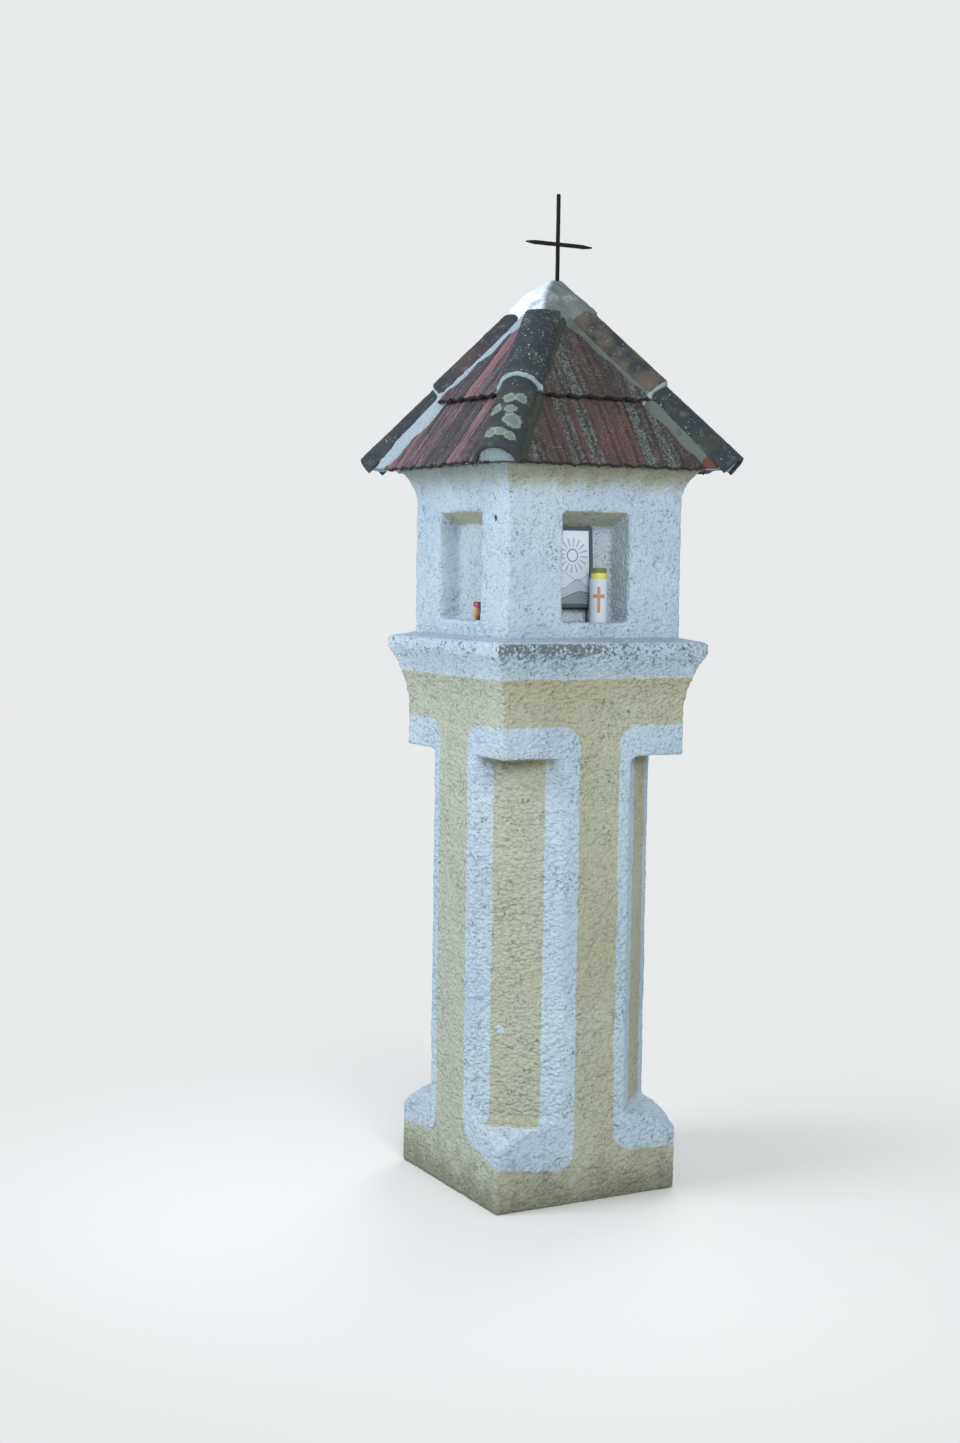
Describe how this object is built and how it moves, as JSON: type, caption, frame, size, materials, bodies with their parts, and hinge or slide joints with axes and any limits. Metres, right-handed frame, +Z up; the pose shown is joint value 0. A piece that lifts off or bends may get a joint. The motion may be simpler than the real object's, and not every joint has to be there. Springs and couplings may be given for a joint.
{
  "type": "wayside shrine",
  "caption": "wayside shrine: rendered masonry pillar with stop-chamfered corners, niched square head, tiled pyramid roof and iron cross",
  "frame": {"origin": "centre of the pillar's base, on the ground", "axes": "+Z is up; -Y is the front, with the picture and the candle in its niche; +X is to the right seen from the front"},
  "size_m": [1.0418, 1.0418, 3.4955],
  "materials": {
    "yellow_plaster": "rough-cast lime render, painted",
    "white_plaster": "rough-cast lime render, whitewashed",
    "mortar": "weathered mortar",
    "roof_tile": "fired clay, weathered",
    "hip_tile": "fired clay, with lichen",
    "iron": "weathered black",
    "frame": "dark grey",
    "picture": "print behind clear plastic",
    "wire": "black",
    "candle_jar": "white",
    "candle_lid": "golden yellow",
    "ornament": "painted"
  },
  "bodies": {
    "root": {"plinth": "yellow_plaster", "shaft": "yellow_plaster", "capital": "yellow_plaster", "cornice": "white_plaster", "head_sill": "white_plaster", "head_core": "white_plaster", "head_top": "white_plaster", "corner_pier_front_left": "white_plaster", "corner_pier_front_right": "white_plaster", "corner_pier_back_left": "white_plaster", "corner_pier_back_right": "white_plaster", "niche_back_front": "white_plaster", "niche_back_right": "white_plaster", "niche_back_back": "white_plaster", "niche_back_left": "white_plaster", "roof_core": "mortar", "tiles_front_lower": "roof_tile", "tiles_front_upper": "roof_tile", "tiles_right_lower": "roof_tile", "tiles_right_upper": "roof_tile", "tiles_back_lower": "roof_tile", "tiles_back_upper": "roof_tile", "tiles_left_lower": "roof_tile", "tiles_left_upper": "roof_tile", "hip_tile_front_right_lower": "hip_tile", "hip_tile_front_right_upper": "hip_tile", "hip_mortar_front_right": "mortar", "hip_tile_back_right_lower": "hip_tile", "hip_tile_back_right_upper": "hip_tile", "hip_mortar_back_right": "mortar", "hip_tile_back_left_lower": "hip_tile", "hip_tile_back_left_upper": "hip_tile", "hip_mortar_back_left": "mortar", "hip_tile_front_left_lower": "hip_tile", "hip_tile_front_left_upper": "hip_tile", "hip_mortar_front_left": "mortar", "apex_cap": "mortar", "cross_upright": "iron", "cross_arm": "iron", "picture_frame": "frame", "picture_panel": "picture", "picture_stand": "wire", "candle_jar": "candle_jar", "candle_lid": "candle_lid", "ornament": "ornament"}
  },
  "joints": []
}
